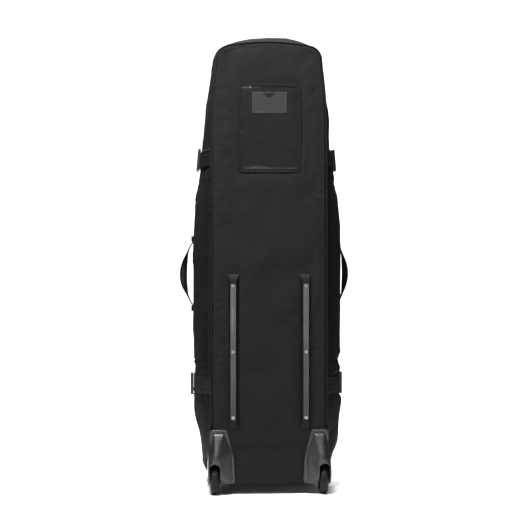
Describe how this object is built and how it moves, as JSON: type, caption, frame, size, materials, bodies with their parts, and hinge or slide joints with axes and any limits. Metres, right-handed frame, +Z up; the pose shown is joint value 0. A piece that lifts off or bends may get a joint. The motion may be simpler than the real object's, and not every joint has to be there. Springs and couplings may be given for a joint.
{
  "type": "wheeled golf travel case",
  "caption": "Tall padded fabric travel case for golf clubs, with a front lid that zips shut, skid rails on the back, inline wheels at the base, side pockets, straps and carry handles.",
  "frame": {"origin": "centre of the footprint box on the floor, with the case standing on its wheels and front feet", "axes": "+Z up along the case's length; -Y towards the wheeled back with the skid rails and label window; +Y towards the front lid; +X to the right as seen from the back"},
  "size_m": [0.4974, 0.3505, 1.2919],
  "materials": {
    "case_fabric": "close woven polyester, padded",
    "base_fabric": "coarser ballistic weave",
    "piping_cover": "bound piping, slight sheen",
    "pad_lining": "quilted lining over foam",
    "board": "ribbed sheet",
    "clear_window": "flexible clear sheet, glossy",
    "card_sleeve": "clear sleeve",
    "rail_plastic": "moulded, pebbled",
    "housing_plastic": "moulded, fine grain",
    "foot_plastic": "matt",
    "screw_steel": "zinc plated",
    "axle_steel": "turned",
    "bearing_steel": "ground",
    "webbing": "flat woven strap",
    "buckle_plastic": "moulded, satin",
    "zip_tape": "tape with spiral coil",
    "zip_metal": "black lacquer",
    "wheel_tyre": "urethane, fine grain",
    "wheel_hub": "moulded nylon"
  },
  "bodies": {
    "case": {"back_panel": "case_fabric", "inner_boards": "board", "back_piping": "piping_cover", "left_gusset": "case_fabric", "right_gusset": "case_fabric", "top_gusset": "case_fabric", "base_panel": "base_fabric", "front_skirt": "base_fabric", "crown_pad": "pad_lining", "base_wrap": "base_fabric", "window_binding": "piping_cover", "window_sheet": "clear_window", "card_pocket": "card_sleeve", "left_skid_rail": "rail_plastic", "right_skid_rail": "rail_plastic", "rail_screws": "screw_steel", "rail_nuts": "screw_steel", "left_wheel_housing": "housing_plastic", "right_wheel_housing": "housing_plastic", "base_screws": "screw_steel", "axle_bolts": "axle_steel", "axle_spacers": "axle_steel", "front_feet": "foot_plastic", "handle_patches": "webbing", "left_webbing": "webbing", "right_webbing": "webbing", "buckle_sockets": "buckle_plastic", "body_zip": "zip_tape", "inner_straps": "webbing", "left_side_pocket": "case_fabric", "right_side_pocket": "case_fabric", "side_pocket_zips": "zip_tape"},
    "lid": {"lid_panel": "case_fabric", "lid_gusset": "case_fabric", "lid_piping": "piping_cover", "lid_zip": "zip_tape", "lid_pocket": "case_fabric", "lid_pocket_zip": "zip_tape", "lid_patches": "webbing"},
    "left_wheel": {"left_tyre": "wheel_tyre", "left_hub": "wheel_hub", "left_bearings": "bearing_steel"},
    "right_wheel": {"right_tyre": "wheel_tyre", "right_hub": "wheel_hub", "right_bearings": "bearing_steel"},
    "left_upper_plug": {"left_upper_plug": "buckle_plastic"},
    "left_lower_plug": {"left_lower_plug": "buckle_plastic"},
    "right_upper_plug": {"right_upper_plug": "buckle_plastic"},
    "right_lower_plug": {"right_lower_plug": "buckle_plastic"},
    "left_slider": {"left_slider": "zip_metal"},
    "left_pull": {"left_pull": "zip_metal"},
    "right_slider": {"right_slider": "zip_metal"},
    "right_pull": {"right_pull": "zip_metal"},
    "left_pocket_slider": {"left_pocket_slider": "zip_metal"},
    "right_pocket_slider": {"right_pocket_slider": "zip_metal"},
    "lid_pocket_slider": {"lid_pocket_slider": "zip_metal"},
    "lid_pocket_pull": {"lid_pocket_pull": "zip_metal"},
    "left_handle": {"left_handle": "webbing"},
    "right_handle": {"right_handle": "webbing"},
    "haul_handle": {"haul_handle": "webbing"}
  },
  "joints": [
    {"name": "lid_hinge", "type": "hinge", "parent": "case", "child": "lid", "pos_m": [0, 0.14475, 0.112], "axis": [-1, 0, 0], "range_deg": [0, 92]},
    {"name": "left_wheel_spin", "type": "hinge", "parent": "case", "child": "left_wheel", "pos_m": [-0.152, -0.13125, 0.042], "axis": [1, 0, 0], "continuous": true},
    {"name": "right_wheel_spin", "type": "hinge", "parent": "case", "child": "right_wheel", "pos_m": [0.152, -0.13125, 0.042], "axis": [1, 0, 0], "continuous": true},
    {"name": "left_zip_run", "type": "slide", "parent": "case", "child": "left_slider", "axis": [0, 0, 1], "range_m": [0, 0.42]},
    {"name": "left_pull_swing", "type": "hinge", "parent": "left_slider", "child": "left_pull", "pos_m": [-0.20473, 0.06675, 0.276], "axis": [0, 1, 0], "range_deg": [0, 165]},
    {"name": "left_upper_buckle_release", "type": "slide", "parent": "case", "child": "left_upper_plug", "axis": [0, 1, 0], "range_m": [0, 0.022]},
    {"name": "left_lower_buckle_release", "type": "slide", "parent": "case", "child": "left_lower_plug", "axis": [0, 1, 0], "range_m": [0, 0.022]},
    {"name": "left_pocket_zip_run", "type": "slide", "parent": "case", "child": "left_pocket_slider", "axis": [0, 0, -1], "range_m": [0, 0.25]},
    {"name": "left_handle_swing", "type": "hinge", "parent": "case", "child": "left_handle", "pos_m": [-0.20997, 0.02275, 0.613], "axis": [0, 0, -1], "range_deg": [-68, 24]},
    {"name": "right_zip_run", "type": "slide", "parent": "case", "child": "right_slider", "axis": [0, 0, 1], "range_m": [0, 0.42]},
    {"name": "right_pull_swing", "type": "hinge", "parent": "right_slider", "child": "right_pull", "pos_m": [0.20473, 0.06675, 0.276], "axis": [0, -1, 0], "range_deg": [0, 165]},
    {"name": "right_upper_buckle_release", "type": "slide", "parent": "case", "child": "right_upper_plug", "axis": [0, 1, 0], "range_m": [0, 0.022]},
    {"name": "right_lower_buckle_release", "type": "slide", "parent": "case", "child": "right_lower_plug", "axis": [0, 1, 0], "range_m": [0, 0.022]},
    {"name": "right_pocket_zip_run", "type": "slide", "parent": "case", "child": "right_pocket_slider", "axis": [0, 0, -1], "range_m": [0, 0.25]},
    {"name": "right_handle_swing", "type": "hinge", "parent": "case", "child": "right_handle", "pos_m": [0.20997, 0.02275, 0.613], "axis": [0, 0, 1], "range_deg": [-68, 24]},
    {"name": "lid_pocket_zip_run", "type": "slide", "parent": "lid", "child": "lid_pocket_slider", "axis": [1, 0, 0], "range_m": [0, 0.17]},
    {"name": "lid_pocket_pull_swing", "type": "hinge", "parent": "lid_pocket_slider", "child": "lid_pocket_pull", "pos_m": [-0.085, 0.17035, 0.776], "axis": [1, 0, 0], "range_deg": [0, 165]},
    {"name": "haul_handle_swing", "type": "hinge", "parent": "lid", "child": "haul_handle", "pos_m": [0, 0.15075, 1.137], "axis": [1, 0, 0], "range_deg": [0, 150]}
  ]
}
